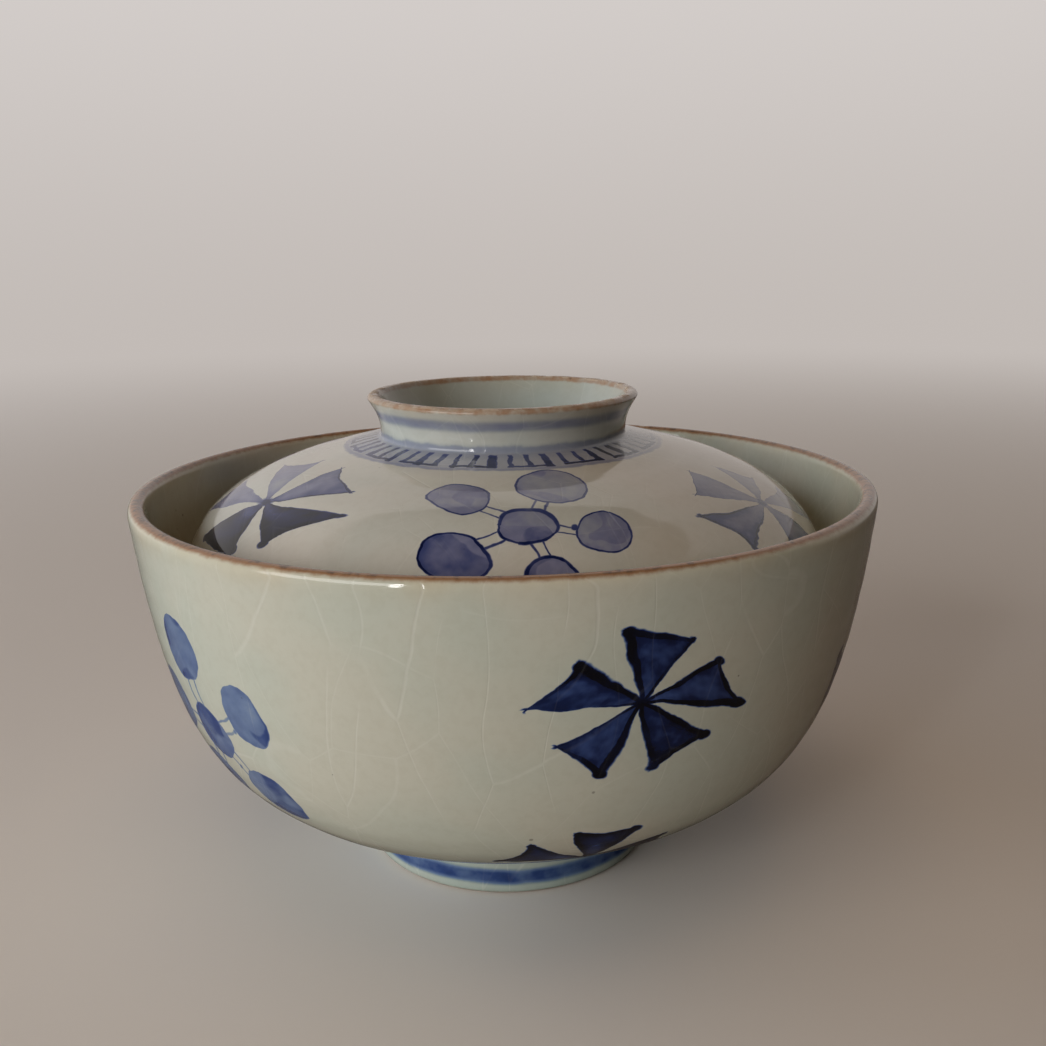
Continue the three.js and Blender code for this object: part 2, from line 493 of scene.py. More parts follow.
def turned_mesh(name, line, by_hand, nicks, motifs):
    """Revolves an outline into a closed mesh that carries what its glaze needs to know."""
    rows = len(line.radius)
    ring, step = np.meshgrid(np.arange(1, rows - 1), np.arange(SEGMENTS), indexing="ij")
    ring, step = ring.ravel(), step.ravel()
    azimuth = step * 360 / SEGMENTS
    radius, height, station = line.radius[ring], line.height[ring], line.station[ring]
    out, up = by_hand(azimuth, height, station)
    depth = nick_depth(nicks, azimuth, radius, station)
    radius_now, height_now = radius + out, height + up - depth
    turn = np.radians(azimuth)
    points = np.column_stack([radius_now * np.sin(turn), -radius_now * np.cos(turn), height_now])
    poles = np.array([(0, 0, line.height[0]), (0, 0, line.height[-1])])
    first_pole = len(points)
    points = np.vstack([points, poles]) * MM

    faces = turned_faces(rows - 1)
    corner = np.array([pair for face in faces for pair in face])
    corner_row = corner[:, 0].astype(int)
    index = (corner_row - 1) * SEGMENTS + corner[:, 1].astype(int) % SEGMENTS
    index[corner_row == 0] = first_pole
    index[corner_row == rows - 1] = first_pole + 1
    sizes = np.array([len(face) for face in faces])
    starts = np.concatenate([[0], np.cumsum(sizes)])
    vertex_faces = [index[a:b].tolist() for a, b in zip(starts, starts[1:])]

    mesh = bpy.data.meshes.new(name)
    mesh.from_pydata(points.tolist(), [], vertex_faces)
    face_of = np.repeat(np.arange(len(faces)), sizes)
    corner_azimuth = corner[:, 1] * 360 / SEGMENTS
    corner_station = line.station[corner_row]
    layers = motif_layers(motifs, corner_azimuth, line.radius[corner_row], corner_station, face_of)
    layers["turned"] = np.column_stack([corner_azimuth, corner_station])
    for layer_name, pairs in layers.items():
        layer = mesh.uv_layers.new(name=layer_name)
        layer.data.foreach_set("uv", pairs.astype(np.float32).ravel())
    wear = mesh.attributes.new("wear", "FLOAT", "POINT")
    worn = np.append(depth / max(nick.depth for nick in nicks), [0, 0])
    wear.data.foreach_set("value", worn.astype(np.float32))
    mesh.shade_smooth()
    mesh.update()
    return mesh


def piece(node, mesh, material):
    """Puts a finished mesh in the scene in place of the CAD node, on the body of that name."""
    made = bpy.data.objects.new(mesh.name, mesh)
    bpy.context.scene.collection.objects.link(made)
    mesh.materials.append(material)
    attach(made, node)
    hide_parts(node)


# -------------------------------- shader arithmetic


class Value:
    """A number that varies over a surface: a shader socket that takes arithmetic."""

    def __init__(self, tree, socket):
        self.tree = tree
        self.socket = socket

    def apply(self, operation, *others):
        node = self.tree.nodes.new("ShaderNodeMath")
        node.operation = operation
        for slot, item in zip(node.inputs, (self, *others)):
            feed(self.tree, slot, item)
        return Value(self.tree, node.outputs[0])

    def __add__(self, other):
        return self.apply("ADD", other)

    def __sub__(self, other):
        return self.apply("SUBTRACT", other)

    def __mul__(self, other):
        return self.apply("MULTIPLY", other)

    def __truediv__(self, other):
        return self.apply("DIVIDE", other)

    def __abs__(self):
        return self.apply("ABSOLUTE")

    def less_from(self, whole):
        """whole minus this value."""
        return (self * -1) + whole

    def high(self, other):
        return self.apply("MAXIMUM", other)

    def low(self, other):
        return self.apply("MINIMUM", other)

    def ramp(self, start, end, low=0.0, high=1.0):
        """Eases from low to high as this value goes from start to end."""
        node = self.tree.nodes.new("ShaderNodeMapRange")
        node.interpolation_type = "SMOOTHSTEP"
        for slot, item in zip(node.inputs, (self, start, end, low, high)):
            feed(self.tree, slot, item)
        return Value(self.tree, node.outputs[0])

    def band(self, half_width, softness):
        """1 where this value is within half_width of zero, falling to 0 over softness."""
        distance = abs(self) - half_width
        return distance.ramp(softness, 0.0)


def parts_of(tree, socket):
    """The three parts of a vector."""
    split = tree.nodes.new("ShaderNodeSeparateXYZ")
    tree.links.new(socket, split.inputs[0])
    return [Value(tree, output) for output in split.outputs]


def feed(tree, slot, item):
    """Links a value or colour to an input, or sets the input to a plain number or colour."""
    if hasattr(item, "socket"):
        tree.links.new(item.socket, slot)
    else:
        slot.default_value = item


class Colour:
    """A colour that varies over a surface."""

    def __init__(self, tree, socket):
        self.tree = tree
        self.socket = socket

    def blend(self, other, share, mode="MIX"):
        """This colour with share of another laid over it."""
        node = self.tree.nodes.new("ShaderNodeMix")
        node.data_type = "RGBA"
        node.blend_type = mode
        node.clamp_factor = True
        factor, below, above = (node.inputs[k] for k in (0, 6, 7))
        feed(self.tree, factor, share)
        feed(self.tree, below, self)
        feed(self.tree, above, other)
        return Colour(self.tree, node.outputs[2])


def even_colour(tree, rgb):
    """The same colour all over."""
    node = tree.nodes.new("ShaderNodeRGB")
    node.outputs[0].default_value = (*rgb, 1)
    return Colour(tree, node.outputs[0])


class Surface:
    """The node tree of one glaze, with the coordinates that its patterns use."""

    def __init__(self, name):
        self.material = bpy.data.materials.new(name)
        self.material.use_nodes = True
        self.tree = self.material.node_tree
        self.tree.nodes.clear()
        at = self.tree.nodes.new("ShaderNodeTexCoord").outputs["Object"]
        self.place = self.scaled(at, (1 / MM,) * 3)
        self.azimuth, self.station = self.pair("turned")
        self.motif_x, self.motif_y = self.pair("motif")
        self.wash, self.line = self.pair("ink")
        kind, number = self.pair("motif_label")
        self.kind, self.number = kind.apply("ROUND"), number.apply("ROUND")
        wear = self.tree.nodes.new("ShaderNodeAttribute")
        wear.attribute_name = "wear"
        self.wear = Value(self.tree, wear.outputs["Fac"])

    def pair(self, layer):
        """Both numbers of a mesh corner layer."""
        node = self.tree.nodes.new("ShaderNodeUVMap")
        node.uv_map = layer
        return parts_of(self.tree, node.outputs["UV"])[:2]

    def vector_maths(self, operation, at, amounts):
        """The coordinates after vector arithmetic with fixed amounts."""
        node = self.tree.nodes.new("ShaderNodeVectorMath")
        node.operation = operation
        self.tree.links.new(at, node.inputs[0])
        node.inputs[1].default_value = amounts
        return node.outputs[0]

    def scaled(self, at, factors):
        return self.vector_maths("MULTIPLY", at, factors)

    def vector(self, *parts):
        node = self.tree.nodes.new("ShaderNodeCombineXYZ")
        for slot, part in zip(node.inputs, parts):
            feed(self.tree, slot, part)
        return node.outputs[0]

    def noise(self, at, size, detail=2.0, roughness=0.5, shift=0.0):
        """Soft noise from 0 to 1 with features of about the given size in mm."""
        node = self.tree.nodes.new("ShaderNodeTexNoise")
        self.tree.links.new(self.moved(at, shift), node.inputs["Vector"])
        node.inputs["Scale"].default_value = 1 / size
        node.inputs["Detail"].default_value = detail
        node.inputs["Roughness"].default_value = roughness
        return Value(self.tree, node.outputs["Fac"])

    def moved(self, at, shift):
        """The same coordinates further along, where a noise has other features."""
        if not shift:
            return at
        return self.vector_maths("ADD", at, (shift, shift * 0.7, shift * 1.3))

    def warped(self, at, size, amount):
        """The coordinates pushed about by noise, so that straight things run as if by hand."""
        node = self.tree.nodes.new("ShaderNodeTexNoise")
        self.tree.links.new(at, node.inputs["Vector"])
        node.inputs["Scale"].default_value = 1 / size
        node.inputs["Detail"].default_value = 1.0
        push = self.tree.nodes.new("ShaderNodeVectorMath")
        push.operation = "MULTIPLY_ADD"
        self.tree.links.new(node.outputs["Color"], push.inputs[0])
        push.inputs[1].default_value = (2 * amount,) * 3
        self.tree.links.new(at, push.inputs[2])
        return self.vector_maths("SUBTRACT", push.outputs[0], (amount,) * 3)

    def chance(self, *keys):
        """A random number from 0 to 1 that is fixed by up to three whole numbers."""
        node = self.tree.nodes.new("ShaderNodeTexWhiteNoise")
        node.noise_dimensions = "3D"
        self.tree.links.new(self.vector(*keys), node.inputs["Vector"])
        return Value(self.tree, node.outputs["Value"])

    def cells(self, at, size, feature):
        """A Voronoi texture with cells of the given size in mm."""
        node = self.tree.nodes.new("ShaderNodeTexVoronoi")
        node.feature = feature
        self.tree.links.new(at, node.inputs["Vector"])
        node.inputs["Scale"].default_value = 1 / size
        return node

    def colours(self, value, stops):
        """A colour ramp over a value, with (value, colour) stops that start at 0."""
        span = stops[-1][0]
        node = self.tree.nodes.new("ShaderNodeValToRGB")
        feed(self.tree, node.inputs[0], value / span)
        elements = node.color_ramp.elements
        elements.remove(elements[1])
        elements[0].color = (*stops[0][1], 1)
        for at, rgb in stops[1:]:
            elements.new(at / span).color = (*rgb, 1)
        return Colour(self.tree, node.outputs[0])

    def finish(self, colour, roughness, relief):
        """Joins colour, roughness and relief (in mm) into the one shader of the material."""
        shader = self.tree.nodes.new("ShaderNodeBsdfPrincipled")
        output = self.tree.nodes.new("ShaderNodeOutputMaterial")
        bump = self.tree.nodes.new("ShaderNodeBump")
        bump.inputs["Distance"].default_value = MM
        feed(self.tree, bump.inputs["Height"], relief)
        feed(self.tree, shader.inputs["Base Color"], colour)
        feed(self.tree, shader.inputs["Roughness"], roughness)
        self.tree.links.new(bump.outputs[0], shader.inputs["Normal"])
        self.tree.links.new(shader.outputs[0], output.inputs[0])
        return self.material


# -------------------------------- cobalt painting

# What each density of cobalt leaves of the glaze's own colour. The lid's is a greyer kind.
BOWL_COBALT = [
    (0.0, (1.0, 1.0, 1.0)),
    (0.5, (0.60, 0.68, 0.82)),
    (1.0, (0.31, 0.42, 0.80)),
    (2.0, (0.072, 0.130, 0.46)),
    (3.0, (0.012, 0.028, 0.150)),
    (4.0, (0.003, 0.008, 0.042)),
    (5.0, (0.002, 0.004, 0.014)),
]
LID_COBALT = [
    (0.0, (1.0, 1.0, 1.0)),
    (0.5, (0.60, 0.64, 0.77)),
    (1.0, (0.37, 0.39, 0.66)),
    (2.0, (0.088, 0.115, 0.36)),
    (3.0, (0.014, 0.026, 0.150)),
    (4.0, (0.005, 0.008, 0.036)),
    (5.0, (0.002, 0.003, 0.010)),
]


def spoke_of(surface, x, y):
    """Which of five spokes a point belongs to, and its angle from that spoke, in radians."""
    angle = y.apply("ARCTAN2", x) - math.radians(FIRST_SPOKE)
    turn = angle / math.radians(SPOKE_TURN)
    spoke = turn.apply("ROUND")
    return spoke.apply("FLOORED_MODULO", SPOKES), (turn - spoke) * math.radians(SPOKE_TURN)


def away_from(reach, angle, other_reach):
    """How far points are from one at other_reach and angle 0, by the law of cosines."""
    square = reach * reach + other_reach**2 - reach * angle.apply("COSINE") * (2 * other_reach)
    return square.high(0.0).apply("SQRT")


def pinwheel(surface, x, y, reach):
    """Cobalt density of five triangular blades that meet in the middle."""
    half = math.radians(BLADE_HALF_WIDTH)
    blade, angle = spoke_of(surface, x, y)
    side = angle.apply("SIGN")
    from_side = reach * (abs(angle).less_from(half)).apply("SINE")
    across_end = angle / half
    hollow = (across_end * across_end).less_from(1.0).high(0.0) * 0.45
    from_end = (reach * angle.apply("COSINE")).less_from(BLADE_REACH * math.cos(half)) - hollow
    inside = from_side.low(from_end)

    # A heavier line is a wider one. Strokes thin out towards the middle.
    press = surface.line
    side_key = blade * 2 + side
    side_weight = press.ramp(2.2, 5.2, 0.05, 0.70)
    side_weight = side_weight * surface.chance(side_key, surface.number, 1.0).ramp(0, 1, 0.8, 1.15)
    taper = reach.ramp(1.5, 9.0, 0.6, 1.0)
    end_weight = press.ramp(2.2, 5.2, 0.07, 0.62)
    end_weight = end_weight * surface.chance(blade, surface.number, 2.0).ramp(0, 1, 0.7, 1.15)
    side_stroke = (from_side / (side_weight * taper)).band(0.45, 0.75) * from_end.ramp(-0.7, -0.3)
    end_stroke = (from_end / end_weight).band(0.45, 0.75) * from_side.ramp(-0.7, -0.3)
    corner_away = away_from(reach, abs(angle) - half, BLADE_REACH)
    blob = press.ramp(2.6, 5.2, 0.05, 1.05)
    blob = blob * surface.chance(side_key, surface.number, 3.0).ramp(0, 1, 0.7, 1.1)
    corner = (corner_away - blob).ramp(0.25, -0.25)
    strokes = side_stroke.high(end_stroke).high(corner)
    middle = reach.ramp(1.6, 0.5)

    strength = surface.chance(blade, surface.number, 4.0).ramp(0, 1, 0.82, 1.12)
    pooled = inside.ramp(1.6, 0.0, 0.0, 0.22)
    thinned = reach.ramp(1.5, 6.5, 0.8, 1.0)
    fill = inside.ramp(-0.12, 0.14) * surface.wash * (strength + pooled) * thinned
    return fill.high(strokes.high(middle) * press)


def plum(surface, x, y, reach):
    """Cobalt density of a round petal ringed by five more, tied to it by paired lines."""
    petal, angle = spoke_of(surface, x, y)
    petal_size = surface.chance(petal, surface.number, 5.0).ramp(0, 1, *PETAL_SIZES)
    from_petal = away_from(reach, angle, PETAL_REACH).less_from(0) + petal_size
    from_middle = reach.less_from(MIDDLE_PETAL_SIZE)
    inside = from_petal.high(from_middle)

    press = surface.line
    line_weight = press.ramp(1.2, 3.4, 0.08, 0.30)
    line_weight = line_weight * surface.chance(petal, surface.number, 6.0).ramp(0, 1, 0.7, 1.2)
    heavier = from_middle.ramp(-1.0, 0.0) * y.ramp(-1.0, 3.5, 0.0, 0.3) * press.ramp(1.3, 2.0)
    outline = (inside / (line_weight + heavier)).band(0.5, 0.8)

    beside = reach * angle.apply("SINE")
    outside = from_petal.ramp(0.3, 0.0) * from_middle.ramp(0.3, 0.0)
    between = outside * reach.ramp(PETAL_REACH - 2, PETAL_REACH - 3)
    ties = (abs(beside) - TIE_OFFSET).band(0.08, 0.18) * between
    knot_side = surface.chance(petal, surface.number, 7.0)
    knot_side = knot_side.ramp(0.45, 0.55, -TIE_OFFSET, TIE_OFFSET)
    knot_reach = surface.chance(petal, surface.number, 8.0).ramp(0, 1, 4.4, 6.2)
    along = reach * angle.apply("COSINE") - knot_reach
    aside = beside - knot_side
    knot_size = surface.chance(petal, surface.number, 9.0).ramp(0.2, 1, 0.0, 0.62)
    knot = ((along * along + aside * aside).apply("SQRT") - knot_size).ramp(0.15, -0.15)
    strokes = outline.high(ties * 0.75).high(knot)

    strength = surface.chance(petal, surface.number, 10.0).ramp(0, 1, 0.9, 1.1)
    in_middle = from_middle.ramp(-0.1, 0.1)
    pooled = inside.ramp(1.2, 0.0, 0.0, 0.12)
    fill = inside.ramp(-0.1, 0.12) * surface.wash * (strength.high(in_middle) + pooled)
    flat = surface.vector(x, y, surface.number * 17.0)
    second_dab = surface.noise(flat, 7.0, 1.0, shift=13.0).ramp(0.52, 0.56, 1.0, 1.4)
    return (fill * second_dab).high(strokes * press)


def brushed_motifs(surface):
    """Cobalt density of all pinwheels and plums, with a brush's wobble and uneven load."""
    flat = surface.vector(surface.motif_x, surface.motif_y, surface.number * 31.0)
    wobble = surface.warped(surface.warped(flat, 6.0, 0.9), 1.1, 0.16)
    x, y, _ = parts_of(surface.tree, wobble)
    reach = (x * x + y * y).apply("SQRT")
    blades = pinwheel(surface, x, y, reach)
    petals = plum(surface, x, y, reach)
    density = blades + (petals - blades) * surface.kind
    load = surface.noise(flat, 3.6, 2.0, 0.5).ramp(0.25, 0.75, 0.78, 1.18)
    drawn_out = surface.scaled(flat, (1.3, 0.6, 1))
    streaks = surface.noise(drawn_out, 0.9, 2.0).ramp(0.3, 0.7, 0.97, 1.03)
    near = reach.ramp(CELL_RADIUS, CELL_RADIUS - 1.0)
    return density * load * streaks * near


# -------------------------------- glaze

CLAY = (0.50, 0.40, 0.30)
DIRTY_CLAY = (0.28, 0.21, 0.155, 1)
IRON_LIGHT = (0.30, 0.142, 0.062)
IRON_DARK = (0.10, 0.042, 0.020, 1)
CRACK_COLOUR = (0.80, 0.79, 0.72, 1)
SPECK_COLOUR = (0.05, 0.032, 0.022, 1)

# What these leave of the glaze's own colour.
COOL_PATCH = (0.93, 0.985, 1.0, 1)
FINE_PATCH = (0.93, 0.92, 0.90, 1)
IRON_BLUSH = (1.0, 0.90, 0.80, 1)
POOLED_TINT = (0.74, 0.84, 0.89, 1)


def crazing(surface, stretch, size, salt):
    """How much of a hairline crack each point holds: long, curved and mostly upright."""
    place = surface.moved(surface.place, salt)
    tall = surface.scaled(surface.warped(place, 24.0, 3.2), (1, 1, stretch))
    cells = surface.cells(tall, size, "DISTANCE_TO_EDGE")
    distance = Value(surface.tree, cells.outputs["Distance"]) * size
    present = surface.noise(place, 13.0, 1.0, shift=40.0).ramp(0.31, 0.46)
    return distance.ramp(0.13, 0.02) * present


def specks(surface, size, share, salt):
    """Small round spots: in a random share of cells of the given size."""
    cells = surface.cells(surface.moved(surface.place, salt), size, "F1")
    cells.inputs["Randomness"].default_value = 0.8
    distance = Value(surface.tree, cells.outputs["Distance"])
    split = surface.tree.nodes.new("ShaderNodeSeparateColor")
    surface.tree.links.new(cells.outputs["Color"], split.inputs[0])
    picked = Value(surface.tree, split.outputs[0]).ramp(1 - share, 1 - share + 0.002)
    spot = Value(surface.tree, split.outputs[1]).ramp(0, 1, 0.12, 0.3) / size
    return (distance / spot).ramp(1.2, 0.6) * picked


def glaze(surface, tint, pigment, cobalt, pooled, iron, bare, crackle):
    """The finished material: glaze over cobalt, iron brown and bare clay where those show.

    cobalt is a density, iron a distance inside the brown's edge, and pooled (thick glaze), bare
    (clay) and crackle (how plain the cracks are) are shares.
    """
    broad = surface.noise(surface.place, 22.0, 2.0, shift=11.0)
    fine = surface.noise(surface.place, 1.3, 3.0, 0.6, shift=23.0)
    colour = even_colour(surface.tree, tint)
    colour = colour.blend(COOL_PATCH, broad.ramp(0.35, 0.65), "MULTIPLY")
    colour = colour.blend(FINE_PATCH, fine.ramp(0.4, 0.7) * 0.5, "MULTIPLY")
    patches = surface.noise(surface.place, 9.0, 2.0, shift=5.0).ramp(0.3, 0.7, 0.25, 0.9)
    colour = colour.blend(IRON_BLUSH, iron.ramp(-4.0, 0.5) * patches, "MULTIPLY")
    colour = colour.blend(POOLED_TINT, pooled, "MULTIPLY")
    colour = colour.blend(surface.colours(cobalt, pigment), 1.0, "MULTIPLY")

    cracks = crazing(surface, 0.20, 9.0, 0.0).high(crazing(surface, 0.6, 17.0, 90.0) * 0.7)
    seen_through = cobalt.ramp(1.5, 0.2, 0.1, 1.0)
    colour = colour.blend(CRACK_COLOUR, cracks * seen_through * crackle)

    mottle = surface.noise(surface.place, 1.6, 4.0, 0.65, shift=61.0)
    dark_share = mottle.ramp(0.45, 0.68) * iron.ramp(0.1, 0.6)
    brown = even_colour(surface.tree, IRON_LIGHT).blend(IRON_DARK, dark_share)
    iron_edge = iron + (mottle - 0.5) * 0.8
    iron_share = iron_edge.ramp(-0.35, 0.35) * 0.92
    colour = colour.blend(brown, iron_share)
    spots = specks(surface, 8.0, 0.16, 3.0).high(specks(surface, 2.6, 0.05, 9.0) * 0.6)
    colour = colour.blend(SPECK_COLOUR, spots * 0.85)
    worn = surface.wear.ramp(0.25, 0.6).high(bare)
    grit = surface.noise(surface.place, 0.5, 2.0, shift=71.0)
    clay = even_colour(surface.tree, CLAY).blend(DIRTY_CLAY, grit.ramp(0.5, 0.75))
    colour = colour.blend(clay, worn)

    smear = surface.noise(surface.place, 14.0, 3.0, 0.6, shift=31.0).ramp(0.3, 0.75, 0.045, 0.11)
    roughness = smear + fine.ramp(0.4, 0.8, 0.0, 0.03)
    roughness = roughness + iron_share * 0.16 + worn * 0.45 + spots * 0.2

    ripple = surface.noise(surface.place, 7.5, 1.0, shift=17.0) * 0.035
    peel = surface.noise(surface.place, 1.0, 2.0, shift=19.0) * 0.0035
    relief = ripple + peel - cracks * 0.012
    relief = relief + spots * 0.02
    relief = relief + mottle * iron_share * 0.03 + grit * worn * 0.08
    return surface.finish(colour, roughness, relief)


# -------------------------------- the two glazes

GLAZE_TINT = (0.600, 0.583, 0.485)
LID_TINT = (0.600, 0.560, 0.490)
LIP_BROWN = 1.1  # how far the brown reaches to either side of a lip
KNOB_BROWN = 1.3
KNOB_BROWN_DEPTH = 0.08  # which keeps the knob's brown thin and patchy
FOOT_BAND_HEIGHT = 3.2
KNOB_BAND_BELOW_TOP = 2.7
TICK_TURN = 360 / 54
TICKS_PER_GROUP = 3
TICK_RADIUS = 22.5  # where the ticks are, from the axis
TICK_START, TICK_END = 0.5, 4.6
BAND_END = 5.9


def height_of(surface):
    """Height above the resting plane, with the piece at rest."""
    return parts_of(surface.tree, surface.place)[2]


def soft_band(surface, distance, half_width, softness, density, salt):
    """A band drawn with a loaded brush on the wheel: an uneven, soft-edged wash.

    distance is measured from the band's middle.
    """
    drift = surface.noise(surface.place, 9.0, 1.0, shift=salt)
    load = surface.noise(surface.place, 4.0, 3.0, shift=salt + 7).ramp(0.25, 0.75, 0.65, 1.15)
    return (distance + (drift - 0.5) * 0.7).band(half_width, softness) * load * density


def bowl_glaze(line):
    """The bowl's glaze: motifs outside, a band round the foot, brown lip, bare foot edge."""
    surface = Surface("bowl_glaze")
    height = height_of(surface)
    foot_station = line.station[np.argmin(line.height)]
    outside_foot = surface.station.ramp(foot_station + 0.5, foot_station - 0.5)
    band = soft_band(surface, height - FOOT_BAND_HEIGHT, 0.5, 1.3, 2.0, 2.0) * outside_foot
    wall_end = BOWL_WALL[1]
    on_wall = surface.station.ramp(wall_end - 6, wall_end, 1.0, 0.0)
    pooled = on_wall.less_from(1.0) * outside_foot
    cobalt = brushed_motifs(surface).high(band)
    iron = abs(surface.station + 0.1).less_from(LIP_BROWN)
    resting = height.ramp(0.55, 0.15) * surface.noise(surface.place, 3.0, 2.0).ramp(0.2, 0.4)
    return glaze(surface, GLAZE_TINT, BOWL_COBALT, cobalt, pooled, iron, resting, 0.17)


def key_band(surface):
    """Ticks in a wash round the foot of the knob, joined in threes at their outer ends."""
    wobbly = surface.noise(surface.place, 2.2, 2.0, shift=51.0) - 0.5
    station = surface.station + wobbly * 0.9
    azimuth = surface.azimuth + wobbly * 3.0
    turn = azimuth / TICK_TURN
    tick = turn.apply("FLOOR")
    from_tick = (turn - tick - 0.5) * math.radians(TICK_TURN) * TICK_RADIUS
    weight = surface.chance(tick, 0.0, 11.0).ramp(0, 1, 0.32, 0.58)
    length = surface.chance(tick, 0.0, 12.0).ramp(0, 1, -0.4, 0.5)
    started = station.ramp(TICK_START - 0.2, TICK_START + 0.3)
    unended = (station + length).ramp(TICK_END + 0.2, TICK_END - 0.2)
    ticks = (from_tick / weight).band(0.75, 0.6) * (started * unended)
    group = azimuth / (TICK_TURN * TICKS_PER_GROUP)
    from_break = (group - group.apply("ROUND")) * (TICK_TURN * TICKS_PER_GROUP)
    joined = abs(from_break).ramp(1.5, 2.3)
    foot_line = (station - TICK_END + 0.15).band(0.16, 0.3) * joined
    heavy = surface.noise(surface.place, 16.0, 1.0, shift=57.0).ramp(0.35, 0.6, 2.0, 4.0)
    wash = station.ramp(BAND_END, BAND_END - 0.8) * station.ramp(-1.5, 0.0) * 0.62
    rim_line = (station - BAND_END + 0.5).band(0.15, 0.6) * 0.85
    base_line = (station + 0.3).band(0.25, 0.7) * 0.7
    return (ticks.high(foot_line) * heavy).high(wash).high(rim_line).high(base_line)


def lid_glaze(line):
    """The lid's glaze: motifs on the dome, ticks round the knob, band and brown on the knob."""
    surface = Surface("lid_glaze")
    top = line.station[np.argmax(line.height)]
    rim = line.station[np.argmin(line.height)]
    height = height_of(surface)
    outside_knob = surface.station.ramp(top - 0.6, top + 0.6)
    below_top = height.less_from(TOP_HEIGHT)
    band = soft_band(surface, below_top - KNOB_BAND_BELOW_TOP, 0.2, 1.0, 0.8, 4.0)
    on_knob = surface.station.ramp(1.0, -1.0) * outside_knob
    in_knob = surface.station.ramp(top + 0.5, top - 1.5)
    pooled = on_knob * 0.4 + in_knob
    cobalt = brushed_motifs(surface).high(key_band(surface)).high(band * on_knob)
    knob_edge = abs(surface.station - top).less_from(KNOB_BROWN).low(KNOB_BROWN_DEPTH)
    own_rim = abs(surface.station - rim).less_from(LIP_BROWN)
    iron = knob_edge.high(own_rim)
    worn = below_top.ramp(0.35, 0.1) * surface.noise(surface.place, 2.4, 3.0).ramp(0.45, 0.6)
    return glaze(surface, LID_TINT, LID_COBALT, cobalt, pooled, iron, worn * 0.8, 0.10)


def build_bowl():
    line = outline("bowl", lip_row)
    mesh = turned_mesh("porcelain_bowl", line, bowl_by_hand, BOWL_NICKS, BOWL_MOTIFS)
    piece("bowl", mesh, bowl_glaze(line))


def build_lid():
    line = outline("lid", knob_foot_row)
    mesh = turned_mesh("porcelain_lid", line, lid_by_hand, LID_NICKS, LID_MOTIFS)
    piece("lid", mesh, lid_glaze(line))


# -------------------------------- stage, light and camera

FLOOR_RADIUS = 1.0  # metres, as are all lengths from here on
WALL_RADIUS = 2.2
WALL_HEIGHT = 2.6
LIT_RADIUS = 0.16  # from here outwards the floor's own colour gives way to the backdrop's
GLOW_RADIUS = 0.95  # and here it has given way
FLOOR_COLOUR = (0.58, 0.52, 0.465)  # for the light that it throws back at the bowl
SEEN_FLOOR_COLOUR = (0.80, 0.745, 0.70, 1)
# Painted reflection: the glaze mirrors the floor in this much darker colour, which lays painted
# shade on the bowl's lower part.
PAINTED_DARK_FLOOR_REFLECTION = (0.16, 0.125, 0.10, 1)  # in the glaze, so that paint near it stays dark
BACKDROP_LOW = (0.50, 0.455, 0.425)
BACKDROP_HIGH = (0.66, 0.62, 0.60, 1)
BACKDROP_RISE = 0.7  # height at which the backdrop has its upper colour


def revolved_sheet(name, rows, material):
    """Revolves a line of (radius, height) rows into an open sheet that belongs to the stage."""
    sweep = bmesh.new()
    vertices = [sweep.verts.new((radius, 0, height)) for radius, height in rows]
    edges = [sweep.edges.new(pair) for pair in zip(vertices, vertices[1:])]
    bmesh.ops.spin(
        sweep,
        geom=vertices + edges,
        cent=(0, 0, 0),
        axis=(0, 0, 1),
        angle=2 * math.pi,
        steps=96,
        use_merge=True,
    )
    bmesh.ops.remove_doubles(sweep, verts=sweep.verts, dist=1e-5)
    bmesh.ops.recalc_face_normals(sweep, faces=sweep.faces)
    mesh = bpy.data.meshes.new(name)
    sweep.to_mesh(mesh)
    sweep.free()
    mesh.shade_smooth()
    mesh.materials.append(material)
    sheet = bpy.data.objects.new(name, mesh)
    bpy.context.scene.collection.objects.link(sheet)
    return sheet


def studio_material():
    """A pale floor near the bowl that turns into a softly glowing backdrop with distance. The
    glaze mirrors the floor much darker than it is: a painted dark reflection.
    """
    material = bpy.data.materials.new("studio")
    material.use_nodes = True
    tree = material.node_tree
    place = tree.nodes.new("ShaderNodeTexCoord").outputs["Object"]
    x, y, height = parts_of(tree, place)
    far = (x * x + y * y).apply("SQRT").ramp(LIT_RADIUS, GLOW_RADIUS)
    path = tree.nodes.new("ShaderNodeLightPath")
    seen = Value(tree, path.outputs["Is Camera Ray"])
    mirrored = Value(tree, path.outputs["Is Glossy Ray"])

    glow = tree.nodes.new("ShaderNodeEmission")
    rise = height.ramp(-0.5 * BACKDROP_RISE, BACKDROP_RISE)
    backdrop = even_colour(tree, BACKDROP_LOW).blend(BACKDROP_HIGH, rise)
    feed(tree, glow.inputs["Color"], backdrop)
    # To the camera it glows all round, to the glaze only behind the bowl.
    behind = y.ramp(-0.3, 0.9)
    feed(tree, glow.inputs["Strength"], seen.high(behind))

    floor = tree.nodes["Principled BSDF"]
    shown = even_colour(tree, FLOOR_COLOUR).blend(SEEN_FLOOR_COLOUR, seen)
    # Painted reflection: to glossy rays the floor takes a far darker colour than it has.
    shown = shown.blend(PAINTED_DARK_FLOOR_REFLECTION, mirrored)
    feed(tree, floor.inputs["Base Color"], shown)
    floor.inputs["Roughness"].default_value = 0.75

    mixed = tree.nodes.new("ShaderNodeMixShader")
    tree.links.new(far.socket, mixed.inputs[0])
    tree.links.new(floor.outputs[0], mixed.inputs[1])
    tree.links.new(glow.outputs[0], mixed.inputs[2])
    tree.links.new(mixed.outputs[0], tree.nodes["Material Output"].inputs["Surface"])
    return material


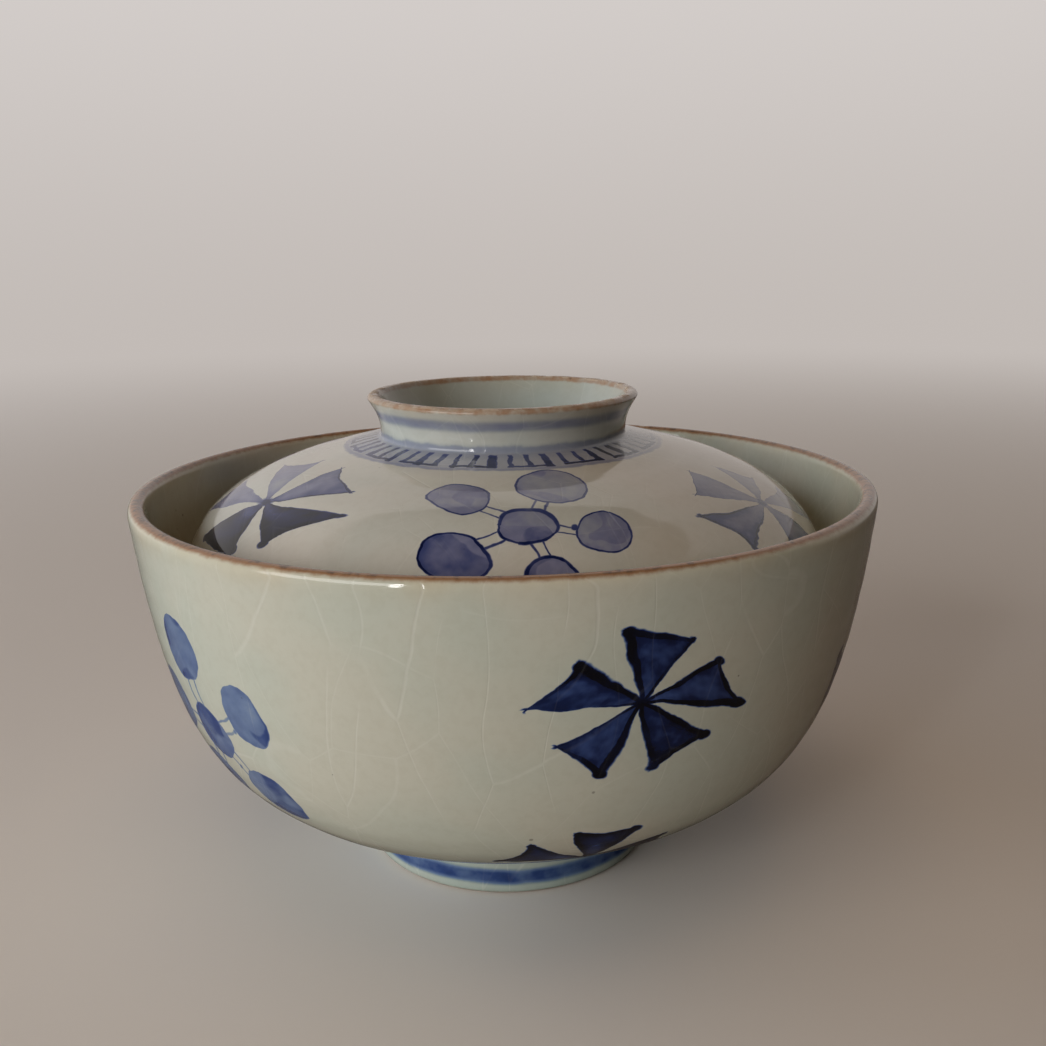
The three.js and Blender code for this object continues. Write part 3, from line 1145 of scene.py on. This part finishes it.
def studio():
    """A pale floor that sweeps up into a backdrop, which casts no light or shadow."""
    material = studio_material()
    flat = [(0, 0), (FLOOR_RADIUS / 2, 0), (FLOOR_RADIUS, 0)]
    revolved_sheet("studio_floor", flat, material)
    bend = WALL_RADIUS - FLOOR_RADIUS
    quarter = [math.radians(90 * k / 16) for k in range(17)]
    rows = [(FLOOR_RADIUS + bend * math.sin(a), bend * (1 - math.cos(a))) for a in quarter]
    rows.append((WALL_RADIUS, WALL_HEIGHT))
    wall = revolved_sheet("studio_wall", rows, material)
    wall.visible_diffuse = False
    wall.visible_shadow = False


def lamp(name, azimuth, elevation, distance, width, height, power, colour, mirrored=True):
    """A softbox that faces the bowl, with its power in watts. The glaze mirrors it or not."""
    light = bpy.data.lights.new(name, "AREA")
    light.shape = "RECTANGLE"
    light.size = width
    light.size_y = height
    light.energy = power
    light.color = colour
    made = bpy.data.objects.new(name, light)
    a, e = math.radians(azimuth), math.radians(elevation)
    back = Vector((math.sin(a) * math.cos(e), -math.cos(a) * math.cos(e), math.sin(e)))
    made.location = back * distance + Vector((0, 0, 0.5 * TOP_HEIGHT * MM))
    made.rotation_euler = (-back).to_track_quat("-Z", "Y").to_euler()
    made.visible_camera = False
    made.visible_glossy = mirrored
    bpy.context.scene.collection.objects.link(made)


def lighting():
    """Two big cool windows on the left, weak warm light from behind and above, and a strip."""
    window = (1.5, 1.1, 1.1)  # distance, width and height
    strip = (0.82, 0.045, 0.42)
    lamp("window", -50, 10, *window, 14.9, (1.0, 1.0, 0.99))
    lamp("side_window", -100, 10, *window, 11.5, (0.79, 0.89, 1.0), mirrored=False)
    lamp("back", 180, 10, *window, 2.6, (1.0, 0.88, 0.80), mirrored=False)
    lamp("overhead", 0, 80, *window, 3.6, (1.0, 0.68, 0.40), mirrored=False)
    lamp("catchlight", -27.5, 14, *strip, 1.0, (1.0, 0.99, 0.97))
    world = bpy.data.worlds.new("room")
    world.use_nodes = True
    background = world.node_tree.nodes["Background"]
    background.inputs["Color"].default_value = (0.80, 0.79, 0.80, 1)
    background.inputs["Strength"].default_value = 0.02
    bpy.context.scene.world = world


CAMERA_DISTANCE = 3.224  # this and the target as shares of the mouth's radius
CAMERA_TARGET = (0.051, 0.0, 0.92)
CAMERA_ELEVATION = 13.89  # degrees
CAMERA_ROLL = -0.708
CAMERA_LENS = 39.44  # mm, on a sensor 36 mm wide


def camera():
    """A hand-held view of the painted front, from close by and a little above."""
    view = bpy.data.cameras.new("camera")
    view.lens = CAMERA_LENS
    view.clip_start = 0.01
    made = bpy.data.objects.new("camera", view)
    unit = MOUTH_RADIUS * MM
    e = math.radians(CAMERA_ELEVATION)
    back = Vector((0, -math.cos(e), math.sin(e)))
    target = Vector(CAMERA_TARGET) * unit
    facing = (-back).to_track_quat("-Z", "Y").to_matrix().to_4x4()
    roll = Matrix.Rotation(math.radians(CAMERA_ROLL), 4, "Z")
    made.matrix_world = Matrix.Translation(target + back * CAMERA_DISTANCE * unit) @ facing @ roll
    bpy.context.scene.collection.objects.link(made)
    bpy.context.scene.camera = made


build_bowl()
build_lid()
studio()
lighting()
camera()
bpy.context.scene.view_settings.view_transform = "Standard"
bpy.context.scene.view_settings.look = "None"
